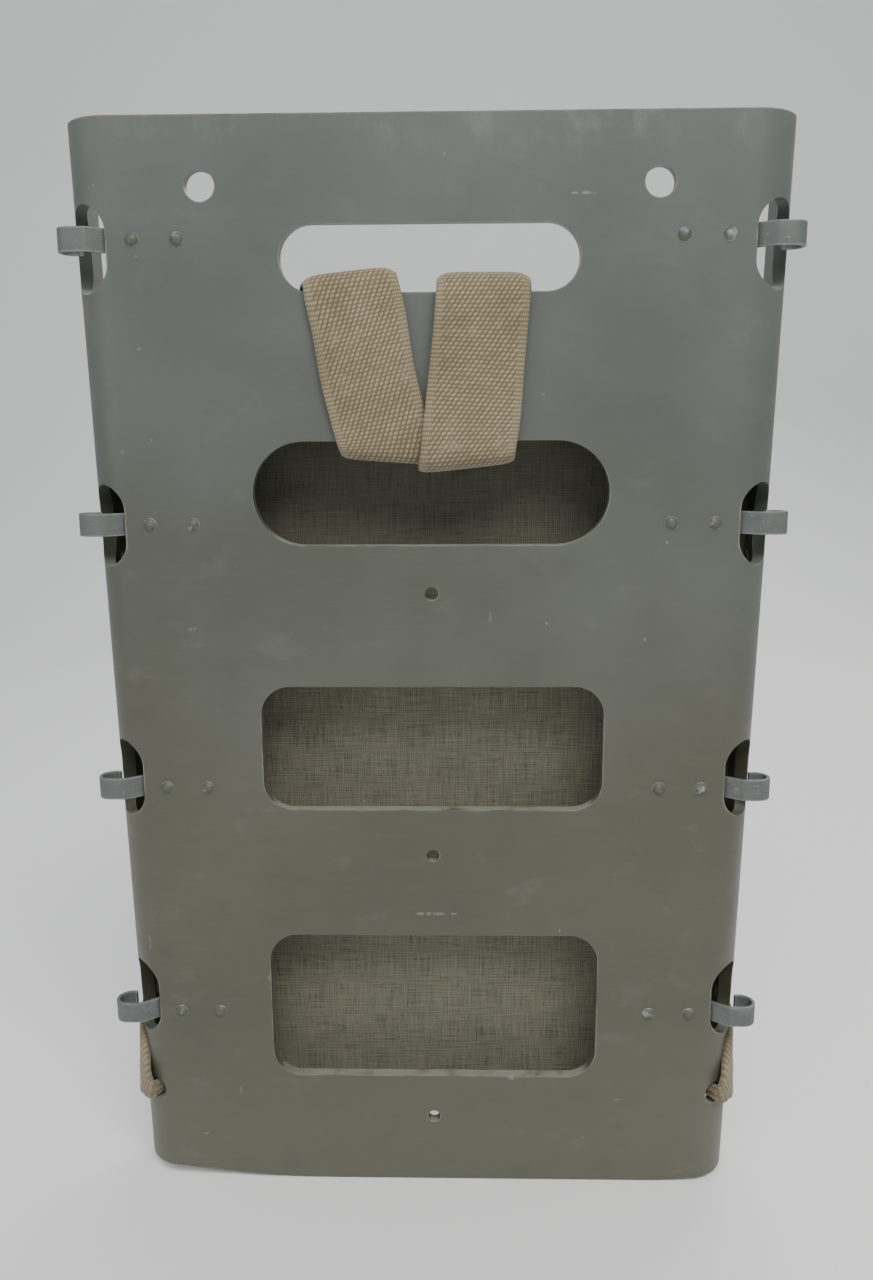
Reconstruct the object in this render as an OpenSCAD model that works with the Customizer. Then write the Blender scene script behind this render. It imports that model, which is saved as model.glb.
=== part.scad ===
// Moulded plywood packboard with lashing hooks, a canvas back panel and shoulder straps.
// Millimetres. X runs across the board, +Y points at the wearer, +Z is up.
// The origin is the middle of the bottom edge, at mid-thickness of the plywood.
// Depths inside the modules are measured from the flat load face, towards the wearer.

/* [Board] */
// Height of the board
board_h = 622.3; // [560:0.1:680]
// Half width of the board at its bottom edge
half_w_bottom = 183.5; // [170:0.5:200]
// Lean of each side flange, so the board is wider at the top
side_lean = 1.08; // [0:0.01:1.5]
// Thickness of the plywood
ply = 6.35; // [5:0.05:8]
// Outside radius of the bend between the face and the flanges
bend_r = 25.4; // [20:0.1:30]
// Depth of the flanges, from the load face to their rear edges
flange_d = 41; // [38:0.5:50]
// Radius of the rear corners of the flanges
flange_corner_r = 14; // [4:1:20]
// How far the worn bottom edge lifts at its left and its right end
bottom_lift = [7.2, 1.8]; // [1:0.1:8]
// Where the lift starts, left and right of the middle
bottom_flat = [60, 130]; // [50:1:135]

/* [Openings in the board] */
// Half width of the top slot
top_slot_half_w = 79.9; // [60:0.1:90]
// Lower and upper edge of the top slot
top_slot_z = [533.3, 568.4]; // [530:0.1:572]
// Half width of the three wide slots
wide_slot_half_w = 98.4; // [80:0.1:110]
// Lower and upper edges of the wide slots, from the lowest up
wide_slot_z = [[71.5, 164.6], [243.7, 317.6], [398.5, 455.5]]; // each within 2 mm of these heights
// Corner radius of the two lower wide slots
slot_corner_r = 17; // [5:1:30]
// Diameter of the two top holes
top_hole_d = 16; // [8:0.5:20]
// Distance between the two top holes
top_hole_pitch = 241.2; // [200:0.1:280]
// Height of the two top holes
top_hole_z = 587.5; // [580:0.5:600]
// Diameter of the centre holes
centre_hole_d = 7.5; // [4:0.5:12]
// Heights of the centre holes
centre_hole_z = [43.6, 215.2, 371.2]; // each within 10 mm of these heights

/* [Lashing hooks] */
// Heights of the hook rows, from the lowest up
row_z = [114.1, 257.0, 410.4, 561.1]; // each within 5 mm of these heights
// Height of each side cut-out's middle above its hook row
cutout_lift = [6, 4, -1, -4]; // [-8:0.5:8]
// Height of a side cut-out
cutout_h = 46; // [40:1:48]
// Distance from the centre line to the outer rivet at the bottom edge
rivet_x_bottom = 153.2; // [150:0.1:156]
// Lean of the rivet columns
rivet_lean = 0.46; // [0:0.01:1]
// Distance between the two rivets of a hook
rivet_pitch = 24; // [18:0.5:26]
// Width of the hook strip
hook_w = 12.7; // [10:0.1:16]
// Thickness of the hook strip
hook_t = 2; // [1.5:0.1:2.2]
// How far the front of a hook stands out from the load face
hook_proud = 3.5; // [2:0.5:5]

/* [Canvas] */
// Thickness of the canvas
canvas_t = 0.9; // [0.6:0.1:1.2]
// Lower and upper edge of the canvas panel
canvas_z = [32, 522]; // lower 24 to 40, upper 515 to 525
// Number of rivets along each side of the canvas
canvas_rivets_n = 9; // [5:1:12]

/* [Straps] */
// Width of the strap webbing
web_w = 52; // [48:0.1:52]
// Thickness of the strap webbing
web_t = 2.6; // [2:0.1:3]
// How far out the left and the right strap cross the top of the canvas
strap_top_x = [56, 33]; // [30:1:60]
// Diameter of the two lower anchor holes
anchor_hole_d = 14; // [10:0.5:16]
// Height of the lower anchor holes
anchor_hole_z = 59; // [50:0.5:64]

/* [Hidden] */
$fn = 64;

SIDES = [-1, 1];
olive = "#5d6052";
khaki = "#8b7e68";
canvas_green = "#69664f";
steel = "#6f736c";

// Half width of the board at height z
function half_w(z) = half_w_bottom + z * tan(side_lean);
// Distance from the centre line to the outer rivet at height z
function rivet_x(z) = rivet_x_bottom + z * tan(rivet_lean);
// Clearance between a soft piece and the hard one beside it
gap = 0.3;
// How far a cutter runs past the faces it cuts
over = 2;

/* ---------- placing ---------- */

// Puts depth 0 at the load face and the origin at mid-thickness
module placed() {
    translate([0, -ply / 2, 0]) children();
}

// Mirrors children for the left side
module on_side(s) {
    if (s < 0) mirror([1, 0, 0]) children();
    else children();
}

// Moves to the outer face of the right flange, leaning with it
module flange_frame() {
    translate([half_w_bottom, 0, 0]) rotate([0, side_lean, 0]) children();
}

/* ---------- board ---------- */

// Rounded rectangle in the XZ plane, cut through the face
module slot_cut(half_w, z_range, r) {
    h = z_range[1] - z_range[0];
    translate([0, ply + over, (z_range[0] + z_range[1]) / 2]) rotate([90, 0, 0])
        linear_extrude(height = ply + 2 * over) {
            square([2 * half_w, h - 2 * r], center = true);
            square([2 * (half_w - r), h], center = true);
            for (sx = SIDES, sz = SIDES)
                translate([sx * (half_w - r), sz * (h / 2 - r)]) circle(r);
        }
}

// Round hole through the face
module face_hole(x, z, d) {
    translate([x, ply + over, z]) rotate([90, 0, 0]) cylinder(d = d, h = ply + 2 * over);
}

// Section of one half of the board, from past the centre line to the flange's rear edge
module half_section() {
    web = half_w_bottom + 20 - bend_r;
    translate([-half_w_bottom - 20, 0]) square([web, ply]);
    translate([-bend_r, bend_r]) intersection() {
        difference() {
            circle(bend_r, $fn = 128);
            circle(bend_r - ply, $fn = 128);
        }
        translate([0, -bend_r]) square(bend_r);
    }
    translate([-ply, bend_r]) square([ply, flange_d - bend_r]);
}

module half_shell(s) {
    on_side(s) intersection() {
        flange_frame() translate([0, 0, -20]) linear_extrude(height = board_h + 40) half_section();
        translate([-1, -1, 0]) cube([half_w_bottom + 60, flange_d + 2, board_h]);
    }
}

// Removes what lies outside a rear corner's radius, at height 0 with the flange above it
module flange_corner_cut() {
    r = flange_corner_r;
    translate([-ply - 8, 0, 0]) rotate([90, 0, 90]) linear_extrude(height = ply + 16)
        difference() {
            translate([flange_d - r, -2]) square([r + 2, r + 2]);
            translate([flange_d - r, r]) circle(r);
        }
}

// Lifts the bottom edge towards one side, along an arc that reaches its full lift at the bend
module bottom_corner_cut(s) {
    k = s < 0 ? 0 : 1;
    run = half_w_bottom - bend_r - bottom_flat[k];
    r = (run * run / bottom_lift[k] + bottom_lift[k]) / 2;
    translate([bottom_flat[k], flange_d + over, 0]) rotate([90, 0, 0])
        linear_extrude(height = flange_d + 2 * over) difference() {
            translate([0, -over]) square([run + 2 * bend_r, over + bottom_lift[k]]);
            intersection() {
                translate([0, r]) circle(r, $fn = 256);
                square([run, bottom_lift[k] + 1]);
            }
        }
}

// Diagonal stadium through the bend, beside each hook
cutout_near = 14.6;
cutout_far = 54.4;
module cutout_cut(i) {
    w = (cutout_far - cutout_near) / sqrt(2);
    mid = rivet_x(row_z[i]) + (cutout_near + cutout_far) / 2;
    depth = 7.4;
    translate([mid - depth, depth, row_z[i] + cutout_lift[i]]) rotate([0, 0, 45])
        rotate([90, 0, 0]) translate([0, 0, -22]) linear_extrude(height = 60) {
            square([w, cutout_h - w], center = true);
            for (sz = SIDES) translate([0, sz * (cutout_h - w) / 2]) circle(d = w);
        }
}

// Hole in the bend for the lower end of a strap
anchor_angle = 34;
module anchor_hole_cut() {
    translate([half_w(anchor_hole_z) - bend_r, bend_r, anchor_hole_z]) rotate([0, 0, anchor_angle])
        rotate([90, 0, 0]) translate([0, 0, 10]) cylinder(d = anchor_hole_d, h = 25);
}

module rivet_holes() {
    for (i = [0:3], k = [0, 1])
        face_hole(rivet_x(row_z[i]) - k * rivet_pitch, row_z[i], rivet_shank_d + 0.1);
}

module board() {
    color(olive) placed() difference() {
        union() for (s = SIDES) half_shell(s);
        slot_cut(top_slot_half_w, top_slot_z, (top_slot_z[1] - top_slot_z[0]) / 2 - 0.01);
        slot_cut(wide_slot_half_w, wide_slot_z[2], (wide_slot_z[2][1] - wide_slot_z[2][0]) / 2 - 0.01);
        for (k = [0, 1]) slot_cut(wide_slot_half_w, wide_slot_z[k], slot_corner_r);
        for (z = centre_hole_z) face_hole(0, z, centre_hole_d);
        for (s = SIDES) {
            face_hole(s * top_hole_pitch / 2, top_hole_z, top_hole_d);
            on_side(s) {
                rivet_holes();
                for (i = [0:3]) cutout_cut(i);
                anchor_hole_cut();
                bottom_corner_cut(s);
                translate([half_w_bottom, 0, bottom_lift[s < 0 ? 0 : 1]]) flange_corner_cut();
                translate([half_w(board_h), 0, board_h]) mirror([0, 0, 1]) flange_corner_cut();
                canvas_rivet_holes();
            }
        }
    }
}

/* ---------- lashing hooks ---------- */

// Middle line of a bend of radius r that starts at a point and turns from one heading to another.
// Each entry is [x, depth, heading].
function bend(start, r, from, to, steps) = let (side = sign(to - from)) [for (k = [0:steps])
    let (a = from + (to - from) * k / steps)
    [start[0] + side * r * (sin(a) - sin(from)), start[1] - side * r * (cos(a) - cos(from)), a]];

foot_end = 7;
jog_start = 9.5;
jog_angle = 35;
jog_r = 3;
curl_r = 7;
curl_start = 32.8;
curl_sweep = 200;
foot_depth = ply + hook_t / 2;
jog_drop = ply + hook_proud;
jog_slope = (jog_drop - 2 * jog_r * (1 - cos(jog_angle))) / sin(jog_angle);
jog_in = bend([jog_start, foot_depth], jog_r, 0, -jog_angle, 5);
jog_out_at = [
    jog_in[5][0] + jog_slope * cos(jog_angle),
    jog_in[5][1] - jog_slope * sin(jog_angle)
];
hook_line = concat(
    [[-rivet_pitch - foot_end, foot_depth, 0]],
    jog_in,
    bend(jog_out_at, jog_r, -jog_angle, 0, 5),
    bend([curl_start, foot_depth - jog_drop], curl_r, 0, curl_sweep, 25)
);

// The strip seen from its edge: a foot on the plywood, a jog out to the front, and a curl
module hook_outline() {
    m = len(hook_line) - 1;
    polygon([for (side = SIDES, i = [0:m])
        let (p = hook_line[side < 0 ? i : m - i])
        [p[0] - side * hook_t / 2 * sin(p[2]), p[1] + side * hook_t / 2 * cos(p[2])]]);
}

module hook(s, i) {
    z = row_z[i];
    color(steel) placed() on_side(s) translate([rivet_x(z), 0, z]) difference() {
        translate([0, 0, -hook_w / 2]) linear_extrude(height = hook_w) hook_outline();
        for (k = [0, 1])
            translate([-k * rivet_pitch, ply + hook_t + 1, 0]) rotate([90, 0, 0])
                cylinder(d = rivet_shank_d + 0.1, h = hook_t + 2);
    }
}

rivet_shank_d = 4.8;
rivet_head_d = 7.6;
rivet_head_h = 2.3;
clench_h = 1.6;

// Domed disc standing on the XY plane
module dome(d, h) {
    r = (d * d / 4 + h * h) / (2 * h);
    rotate_extrude() intersection() {
        translate([0, h - r]) circle(r);
        square([d / 2, h]);
    }
}

// Rivet along Y, with its head on the load face
module hook_rivet() {
    rotate([90, 0, 0]) {
        dome(rivet_head_d, rivet_head_h);
        translate([0, 0, -ply - hook_t]) cylinder(d = rivet_shank_d, h = ply + hook_t + 0.2);
        translate([0, 0, -ply - hook_t]) mirror([0, 0, 1]) dome(rivet_head_d - 0.6, clench_h);
    }
}

module hook_rivets() {
    color(steel) placed() for (s = SIDES, i = [0:3], k = [0, 1])
        on_side(s) translate([rivet_x(row_z[i]) - k * rivet_pitch, 0, row_z[i]]) hook_rivet();
}

/* ---------- canvas ---------- */

canvas_rivet_d = 3.2;
canvas_rivet_head_d = 7;
canvas_rivet_head_h = 1.1;
canvas_rivet_depth = flange_d - 5.5;
canvas_hem_front = flange_d - 12;
hem_w = 24;
function canvas_rivet_z(k) =
    canvas_z[0] + 22 + k * (canvas_z[1] - canvas_z[0] - 44) / (canvas_rivets_n - 1);

module canvas_rivet_holes() {
    flange_frame() for (k = [0:canvas_rivets_n - 1])
        translate([-ply - 2, canvas_rivet_depth, canvas_rivet_z(k)]) rotate([0, 90, 0])
            cylinder(d = canvas_rivet_d + 0.1, h = ply + 5);
}

// Section of one half of the panel: the flat, and the hem round the flange's rear edge
module canvas_section(thick) {
    back = flange_d + gap;
    translate([-half_w_bottom - 20, back]) square([half_w_bottom + 20 + gap + thick, thick]);
    translate([gap, canvas_hem_front]) square([thick, back + thick - canvas_hem_front]);
}

module canvas_half(z0, z1, thick) {
    intersection() {
        flange_frame() translate([0, 0, z0 - 10]) linear_extrude(height = z1 - z0 + 20)
            canvas_section(thick);
        translate([-1, 0, z0]) cube([half_w_bottom + 60, flange_d + 10, z1 - z0]);
    }
}

module canvas_panel() {
    color(canvas_green) placed() difference() {
        for (s = SIDES) on_side(s) {
            canvas_half(canvas_z[0], canvas_z[1], canvas_t);
            translate([-1, flange_d + gap + canvas_t - 0.1, 0]) {
                translate([0, 0, canvas_z[0]]) cube([half_w(canvas_z[0]) - 12, canvas_t + 0.1, hem_w]);
                translate([0, 0, canvas_z[1] - hem_w])
                    cube([half_w(canvas_z[1] - hem_w) - 12, canvas_t + 0.1, hem_w]);
            }
        }
        for (s = SIDES) on_side(s) canvas_rivet_holes();
    }
}

module canvas_rivets() {
    out = gap + canvas_t;
    color(steel) placed() for (s = SIDES, k = [0:canvas_rivets_n - 1])
        on_side(s) flange_frame() translate([0, canvas_rivet_depth, canvas_rivet_z(k)])
            rotate([0, 90, 0]) {
                translate([0, 0, out]) dome(canvas_rivet_head_d, canvas_rivet_head_h);
                translate([0, 0, -ply]) cylinder(d = canvas_rivet_d, h = ply + out + 0.2);
                translate([0, 0, -ply]) mirror([0, 0, 1])
                    dome(canvas_rivet_head_d, canvas_rivet_head_h);
            }
}

/* ---------- straps: ribbons along a route ---------- */

// Point on a smooth curve through b and c, with neighbours a and d
function curve(a, b, c, d, t) =
    0.5 * (2 * b + (c - a) * t + (2 * a - 5 * b + 4 * c - d) * t * t
        + (3 * b - a - 3 * c + d) * t * t * t);

// Rows [x, depth, z, width direction xyz, width, thickness] spaced along the curve
function smooth(rows, n = 5) = let (m = len(rows) - 1) concat(
    [for (i = [0:m - 1], k = [0:n - 1])
        curve(rows[max(i - 1, 0)], rows[i], rows[i + 1], rows[min(i + 2, m)], k / n)],
    [rows[m]]);

function unit(v) = v / norm(v);
function place(row) = [row[0], row[1], row[2]];

// Four corners of the ribbon at row i, with its middle moved off its route by off. A skewed ribbon
// keeps its rows at the angle they are given; any other is square across.
function corners(rows, i, off, skewed) =
    let (m = len(rows) - 1,
         along = unit(place(rows[min(i + 1, m)]) - place(rows[max(i - 1, 0)])),
         w0 = [rows[i][3], rows[i][4], rows[i][5]],
         w = skewed ? unit(w0) : unit(w0 - (w0 * along) * along),
         n = unit(cross(along, w)),
         p = place(rows[i]) + off * n, hw = rows[i][6] / 2, ht = rows[i][7] / 2)
    [p - hw * w - ht * n, p + hw * w - ht * n, p + hw * w + ht * n, p - hw * w + ht * n];

module ribbon(rows, off = 0, skewed = false) {
    m = len(rows) - 1;
    points = [for (i = [0:m]) each corners(rows, i, off, skewed)];
    sides = [for (i = [0:m - 1], k = [0:3])
        let (a = 4 * i + k, b = 4 * i + (k + 1) % 4)
        each [[a, b + 4, b], [a, a + 4, b + 4]]];
    caps = [[0, 1, 2], [0, 2, 3], [4 * m + 2, 4 * m + 1, 4 * m], [4 * m + 3, 4 * m + 2, 4 * m]];
    polyhedron(points, concat(sides, caps), convexity = 6);
}

// Buckle frame: origin of the buckle and how far it leans in
buckle_at = [165, 108, 176];
lean_in = 15;
strap_dir = [-sin(lean_in), 0, cos(lean_in)];
strap_across = [cos(lean_in), 0, sin(lean_in)];
strap_out = [0, 1, 0];
// Point at height l along the straight of the strap, o outside its middle
function on_strap(l, o = 0) = buckle_at + l * strap_dir + o * strap_out;

module buckle_frame() {
    translate(buckle_at) rotate([0, -lean_in, 0]) children();
}

function top_x(s) = s < 0 ? strap_top_x[0] : strap_top_x[1];

// Front loops: over the top of the canvas, through the top slot, down the front of the bridge, in
// through the next slot and up behind the bridge, where the two cross. Each row gives the strip's
// inner and outer edge and its depth: [x inner, z inner, x outer, z outer, depth].
loop_left = [
    [30, 523.5, 82, 523.5, 51], [28.5, 530, 80.3, 528, 45], [26, 533.5, 77.6, 531, 36],
    [22, 540, 73.2, 536, 20], [19.5, 545.3, 70.6, 540, 9], [18, 546, 69, 540.7, 3],
    [16.6, 542, 67.9, 536.6, -1.6], [14.6, 534, 66.6, 528, -2.6], [12.1, 522.8, 63.3, 512.3, -2.6],
    [8.3, 497.5, 59.4, 487, -2.5], [4, 478.7, 55, 468.2, -2.4], [0.2, 461, 51.6, 455, -2.2],
    [-2.6, 447.6, 50, 449.6, 0], [-3.5, 443.6, 49.4, 447.2, 5.5], [-5.5, 448, 47.6, 451, 10.6],
    [-9.5, 457, 43.5, 461.2, 12], [-15.2, 470.4, 37.7, 474.8, 12.2], [-29.2, 503.4, 23.7, 507.9, 12.4]
];
loop_right = [
    [7, 523.5, 59, 523.5, 51], [6.7, 529, 58.4, 529, 45], [6, 532, 57.4, 532, 36],
    [5, 537.6, 56, 537.4, 20], [4, 542, 54.8, 541.7, 9], [3.4, 542.3, 54.2, 541.9, 2],
    [3.2, 537.5, 54, 537.2, -3.6], [2.7, 527, 53.6, 527, -5.8], [1.2, 510, 52, 508, -6.4],
    [-0.9, 492, 50.6, 489, -6.6], [-3.4, 470, 49.2, 468, -6.6], [-5.8, 449.6, 47, 452, -6.2],
    [-6.8, 441.5, 46.4, 446, -2.6], [-7.1, 438.9, 46.2, 444.6, 5], [-8.6, 443, 44.8, 448.5, 13.6],
    [-11.5, 452, 42, 457.7, 16], [-15.9, 467.5, 37.4, 473.2, 16.2], [-26.4, 501.9, 26.9, 507.6, 16.4]
];

// Ribbon row between two edges
function edge_row(r) = let (across = [r[2] - r[0], 0, r[3] - r[1]], w = unit(across))
    [(r[0] + r[2]) / 2, r[4], (r[1] + r[3]) / 2, w[0], w[1], w[2], norm(across), web_t];

module strap_loop(s) {
    route = s < 0 ? loop_left : loop_right;
    color(khaki) placed() on_side(s) ribbon(smooth([for (r = route) edge_row(r)]), skewed = true);
}

// Upper strap, from behind the canvas's top edge down to the straight above the buckle
double_l = 52;
straight_l = 150;
function upper_route(s) = let (x = top_x(s), foot = on_strap(straight_l)) [
    [x + 4, 66, 500, 1, 0, 0, web_w, web_t],
    [x + 11, 90, 474, 1, 0, 0, web_w, web_t],
    [lerp(x + 11, foot[0], 0.32), 114, 431, 1, 0, 0, web_w, web_t],
    [lerp(x + 11, foot[0], 0.66), 123, 378, 1, 0, 0.1, web_w, web_t],
    row(foot), row(on_strap(125)), row(on_strap(90)), row(on_strap(double_l - 8))
];

module shoulder_strap(s) {
    color(khaki) placed() on_side(s) {
        ribbon(smooth(upper_route(s)));
        buckle_frame() strap_end();
    }
}

function lerp(a, b, t) = a + (b - a) * t;
// Ribbon row at a point of the strap's straight
function row(p) = [p[0], p[1], p[2], strap_across[0], strap_across[1], strap_across[2], web_w, web_t];

// Lower end of the upper strap: a loop round the buckle's top bar, then two layers sewn together
bar_z = [20.5, 26];
module strap_end() {
    inner = base_t / 2 + 0.3;
    loop_z = [bar_z[0] - 0.4, bar_z[1] + 0.4];
    outer = inner + web_t;
    w = web_w - 0.4;
    translate([-w / 2, 0, 0]) rotate([90, 0, 90]) linear_extrude(height = w) {
        difference() {
            translate([-outer, loop_z[0] - web_t])
                square([2 * outer, loop_z[1] - loop_z[0] + 2 * web_t]);
            translate([-inner, loop_z[0]]) square([2 * inner, loop_z[1] - loop_z[0]]);
        }
        translate([-web_t - 0.1, loop_z[1] + 1]) square([2 * web_t + 0.2, double_l - loop_z[1] - 1]);
    }
}

// Pad under the upper strap, between it and the wearer, thinner at its ends
pad_w = 62;
pad_t = 8;
pad_rows = [3, 21];
pad_gap = 1.5;
module shoulder_pad(s) {
    rows = smooth(upper_route(s));
    mid = (pad_rows[0] + pad_rows[1]) / 2;
    padded = [for (i = [pad_rows[0]:pad_rows[1]])
        let (end = pow(abs(i - mid) / (pad_rows[1] - mid), 6))
        [for (k = [0:7]) k == 6 ? pad_w - 8 * end : k == 7 ? pad_t - 4 * end : rows[i][k]]];
    color(canvas_green) placed() on_side(s) ribbon(padded, web_t / 2 + pad_gap + pad_t / 2);
}

// Lower web, from behind the flange up through the buckle, with its free end above it
tail_l = 128;
tail_out = 6.2;
module adjusting_web(s) {
    color(khaki) placed() on_side(s) ribbon(smooth([
        [188.5, 55, 77, 0.02, 0, 1, web_w, web_t],
        [187.5, 65, 81, -0.1, -0.1, 1, web_w, web_t],
        [184, 83, 92, -0.1, -0.5, 0.9, web_w, web_t],
        [180, 98, 112, 0.6, -0.6, 0.5, web_w, web_t],
        row(on_strap(-40, 2.6)), row(on_strap(-20, 2.6)), row(on_strap(0, 2.6)),
        row(on_strap(6, 3)), row(on_strap(13, 5.4)), row(on_strap(20, tail_out)),
        row(on_strap(34, tail_out)), row(on_strap(60, tail_out)), row(on_strap(tail_l, tail_out))
    ]));
}

// Lowest stretch of web, from the anchor hole round the outside of the flange
module anchor_web(s) {
    h = half_w(anchor_hole_z);
    color(khaki) placed() on_side(s) ribbon(smooth([
        [h - 17.9, 14.3, 59.3, 0, 0, 1, 9, 4],
        [h - 14.7, 9.5, 59.3, 0, 0, 1, 9, 4],
        [h - 11, 4, 59.5, 0, 0, 1, 10, 4],
        [h - 8.6, 0.8, 60, 0, 0, 1, 12, 3.6],
        [h - 4.6, 1.6, 61.5, 0, 0, 1, 18, 3.2],
        [h - 0.6, 6.2, 64.5, 0, 0, 1, 27, 3],
        [h + 3.4, 14, 69, 0, 0, 1, 37, web_t],
        [h + 4.6, 25, 72.5, 0.02, 0, 1, 46, web_t],
        [h + 4.4, 36, 75, 0.02, 0, 1, web_w, web_t],
        [h + 4, 43.5, 76.5, 0.02, 0, 1, web_w, web_t]
    ]));
}

// Bar that keeps the web's end from pulling out through the anchor hole
toggle_d = 8;
module anchor_toggle(s) {
    h = half_w(anchor_hole_z);
    color(steel) placed() on_side(s) translate([h - 20.4, 17.9, anchor_hole_z - 16])
        cylinder(d = toggle_d, h = 32);
}

/* ---------- cam buckle ---------- */

base_w = 63;
base_t = 2;
base_z = [-24, 26];
slot_w = web_w + 1.6;
ear_x = web_w / 2 + 1.8;
ear_t = 2;
ear_r = 6.5;
ear_foot = 18;
pin_at = [9.6, -4];
pin_d = 4;
cam_r = 5;

module buckle_base(s) {
    h = base_z[1] - base_z[0];
    color(steel) placed() on_side(s) buckle_frame() difference() {
        union() {
            translate([-base_w / 2, -base_t / 2, base_z[0]]) cube([base_w, base_t, h]);
            for (sx = SIDES) translate([sx * (ear_x + ear_t / 2), 0, 0]) ear();
        }
        translate([-slot_w / 2, -base_t, bar_z[0] - 7]) cube([slot_w, 2 * base_t, 7]);
        translate([-base_w, pin_at[0], pin_at[1]]) rotate([0, 90, 0])
            cylinder(d = pin_d + 0.06, h = 2 * base_w);
        for (sx = [0, 1], sz = [0, 1])
            mirror([sx, 0, 0]) translate([base_w / 2 - base_corner_r, 0, base_z[sz]])
                mirror([0, 0, sz]) base_corner();
    }
}

// What is cut from the base's lower corner to round it
base_corner_r = 4;
module base_corner() {
    translate([0, base_t, 0]) rotate([90, 0, 0]) linear_extrude(height = 2 * base_t) difference() {
        translate([0, -1]) square([base_corner_r + 1, base_corner_r + 1]);
        translate([0, base_corner_r]) circle(base_corner_r);
    }
}

// Side ear of the base, round at the pin
module ear() {
    translate([-ear_t / 2, 0, 0]) rotate([90, 0, 90]) linear_extrude(height = ear_t) {
        translate([0, pin_at[1] - ear_foot / 2]) square([pin_at[0] - 4, ear_foot]);
        translate(pin_at) circle(r = ear_r);
        translate([pin_at[0] - 4, pin_at[1] - ear_r]) square([4, 2 * ear_r]);
    }
}

module buckle_pin(s) {
    l = 2 * (ear_x + ear_t) + 0.4;
    color(steel) placed() on_side(s) buckle_frame() translate([0, pin_at[0], pin_at[1]])
        rotate([0, 90, 0]) {
            translate([0, 0, -l / 2 - 0.5]) cylinder(d = pin_d, h = l + 1);
            for (sx = SIDES) translate([0, 0, sx * l / 2]) mirror([0, 0, sx > 0 ? 0 : 1])
                dome(pin_d + 2.4, 1.3);
        }
}

// Lever: a toothed cam on the pin and a thumb plate that lies over the web
lever_l = 34;
module buckle_lever(s) {
    w = 2 * ear_x - 1;
    color(steel) placed() on_side(s) buckle_frame() translate([-w / 2, pin_at[0], pin_at[1]])
        rotate([90, 0, 90]) difference() {
            linear_extrude(height = w) {
                circle(r = cam_r);
                translate([cam_r - 2, 0]) square([2, lever_l]);
                translate([cam_r - 1, lever_l]) circle(r = 1.6);
            }
            translate([0, 0, -1]) cylinder(d = pin_d + 0.12, h = w + 2);
            for (side = [0, 1]) translate([cam_r - 3, lever_l * 0.45, side * (w - 6) - 0.5])
                cube([4, lever_l, 7]);
        }
}

// Folded metal clip on the free end of the web
tip_l = 12;
module web_tip(s) {
    color(steel) placed() on_side(s) buckle_frame()
        translate([0, tail_out, tail_l - tip_l + 4]) difference() {
            translate([-web_w / 2 - 0.9, -web_t / 2 - 0.9, 0]) cube([web_w + 1.8, web_t + 1.8, tip_l]);
            translate([-web_w / 2 - 0.1, -web_t / 2 - 0.1, -1])
                cube([web_w + 0.2, web_t + 0.2, tip_l - 2.9]);
        }
}

// Sewn band round the upper strap and the free end of the web
keeper_l = 15;
keeper_z = 60;
module web_keeper(s) {
    in_x = web_w / 2 + 0.5;
    in_y = [-web_t / 2 - 0.6, tail_out + web_t / 2 + 0.6];
    wall = 1.8;
    color(khaki) placed() on_side(s) buckle_frame() translate([0, 0, keeper_z]) difference() {
        translate([-in_x - wall, in_y[0] - wall, 0])
            cube([2 * (in_x + wall), in_y[1] - in_y[0] + 2 * wall, keeper_l]);
        translate([-in_x, in_y[0], -1]) cube([2 * in_x, in_y[1] - in_y[0], keeper_l + 2]);
    }
}

board();
hook(-1, 0);  // hook_left_1
hook(-1, 1);  // hook_left_2
hook(-1, 2);  // hook_left_3
hook(-1, 3);  // hook_left_4
hook(1, 0);  // hook_right_1
hook(1, 1);  // hook_right_2
hook(1, 2);  // hook_right_3
hook(1, 3);  // hook_right_4
hook_rivets();
canvas_panel();
canvas_rivets();
strap_loop(-1);  // strap_loop_left
strap_loop(1);  // strap_loop_right
shoulder_strap(-1);  // shoulder_strap_left
shoulder_strap(1);  // shoulder_strap_right
shoulder_pad(-1);  // shoulder_pad_left
shoulder_pad(1);  // shoulder_pad_right
adjusting_web(-1);  // adjusting_web_left
adjusting_web(1);  // adjusting_web_right
anchor_web(-1);  // anchor_web_left
anchor_web(1);  // anchor_web_right
anchor_toggle(-1);  // anchor_toggle_left
anchor_toggle(1);  // anchor_toggle_right
buckle_base(-1);  // buckle_base_left
buckle_base(1);  // buckle_base_right
buckle_pin(-1);  // buckle_pin_left
buckle_pin(1);  // buckle_pin_right
buckle_lever(-1);  // buckle_lever_left
buckle_lever(1);  // buckle_lever_right
web_tip(-1);  // web_tip_left
web_tip(1);  // web_tip_right
web_keeper(-1);  // web_keeper_left
web_keeper(1);  // web_keeper_right
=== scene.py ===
"""Looks of the plywood packboard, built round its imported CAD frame. Metres, Z up, +Y towards the wearer."""

import math

import bpy
import numpy as np
from mathutils import Matrix, Vector


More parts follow.
